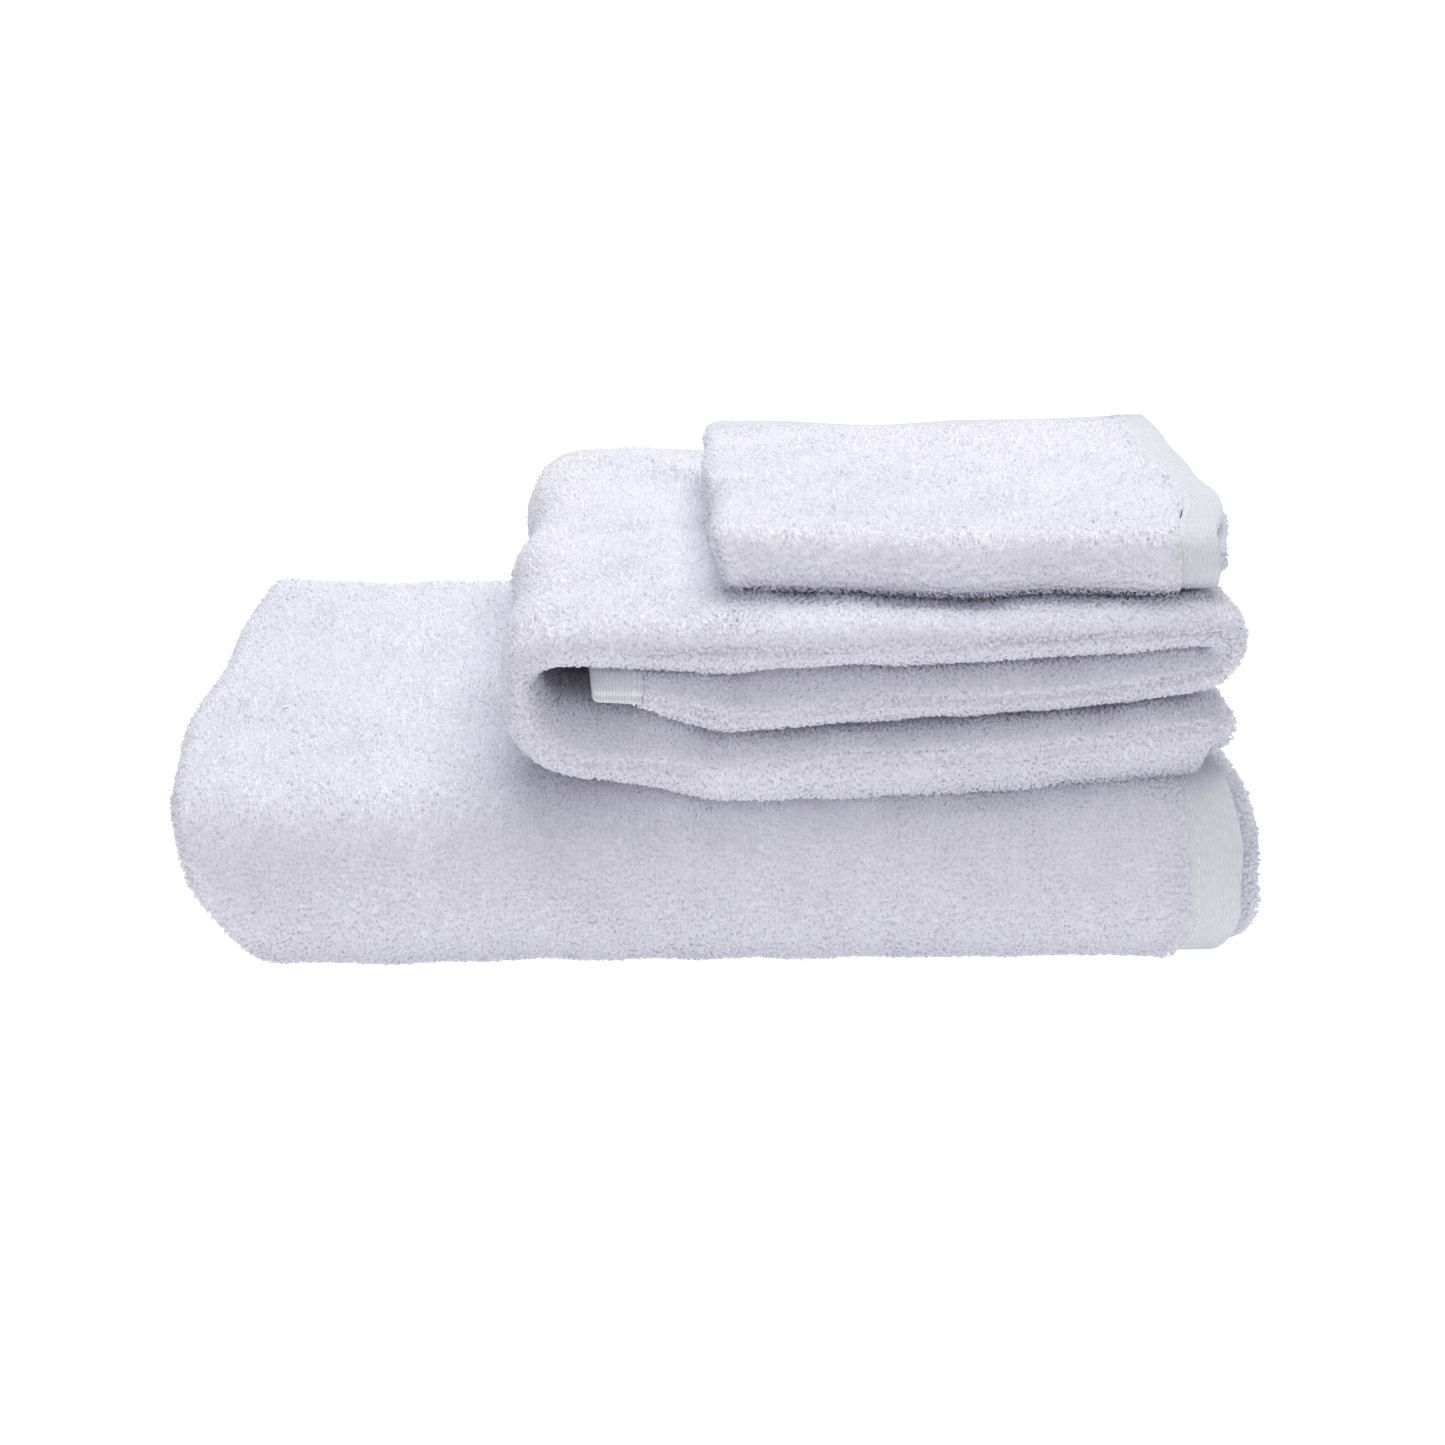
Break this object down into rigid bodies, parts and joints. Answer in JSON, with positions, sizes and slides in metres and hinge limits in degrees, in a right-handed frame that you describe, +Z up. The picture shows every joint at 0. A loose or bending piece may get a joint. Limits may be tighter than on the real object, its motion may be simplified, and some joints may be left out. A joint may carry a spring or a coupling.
{
  "type": "folded bath towel set",
  "caption": "Stack of folded terry towels: a bath towel, a hand towel on it and a face cloth on top, with woven hems.",
  "frame": {"origin": "on the surface the set stands on, under the middle of the whole stack", "axes": "+Z up, -Y to the front where the smooth folds face, +X to the right along the longest side"},
  "size_m": [0.35, 0.2546, 0.1452],
  "materials": {
    "terry": "looped cotton pile, white",
    "hem": "flat woven cotton with fine ribs, white",
    "thread": "twisted cotton sewing thread, white"
  },
  "bodies": {
    "bath_towel": {"bath_towel_end_hem_a": "hem", "bath_towel_end_hem_b": "hem", "bath_towel_end_stitches_a": "thread", "bath_towel_end_stitches_b": "thread", "bath_towel_side_hem_inner": "hem", "bath_towel_side_hem_outer": "hem", "bath_towel_side_stitches_inner": "thread", "bath_towel_side_stitches_outer": "thread", "bath_towel_terry": "terry"},
    "hand_towel": {"hand_towel_end_hem_a": "hem", "hand_towel_end_hem_b": "hem", "hand_towel_end_stitches_a": "thread", "hand_towel_end_stitches_b": "thread", "hand_towel_side_hem_inner": "hem", "hand_towel_side_hem_outer": "hem", "hand_towel_side_stitches_inner": "thread", "hand_towel_side_stitches_outer": "thread", "hand_towel_terry": "terry"},
    "face_cloth": {"face_cloth_end_hem_a": "hem", "face_cloth_end_hem_b": "hem", "face_cloth_end_stitches_a": "thread", "face_cloth_end_stitches_b": "thread", "face_cloth_side_hem_inner": "hem", "face_cloth_side_hem_outer": "hem", "face_cloth_side_stitches_inner": "thread", "face_cloth_side_stitches_outer": "thread", "face_cloth_terry": "terry"}
  },
  "joints": [
    {"name": "hand_towel_lift", "type": "slide", "parent": "bath_towel", "child": "hand_towel", "axis": [0, 0, 1], "range_m": [0, 0.08]},
    {"name": "face_cloth_lift", "type": "slide", "parent": "hand_towel", "child": "face_cloth", "axis": [0, 0, 1], "range_m": [0, 0.06]}
  ]
}
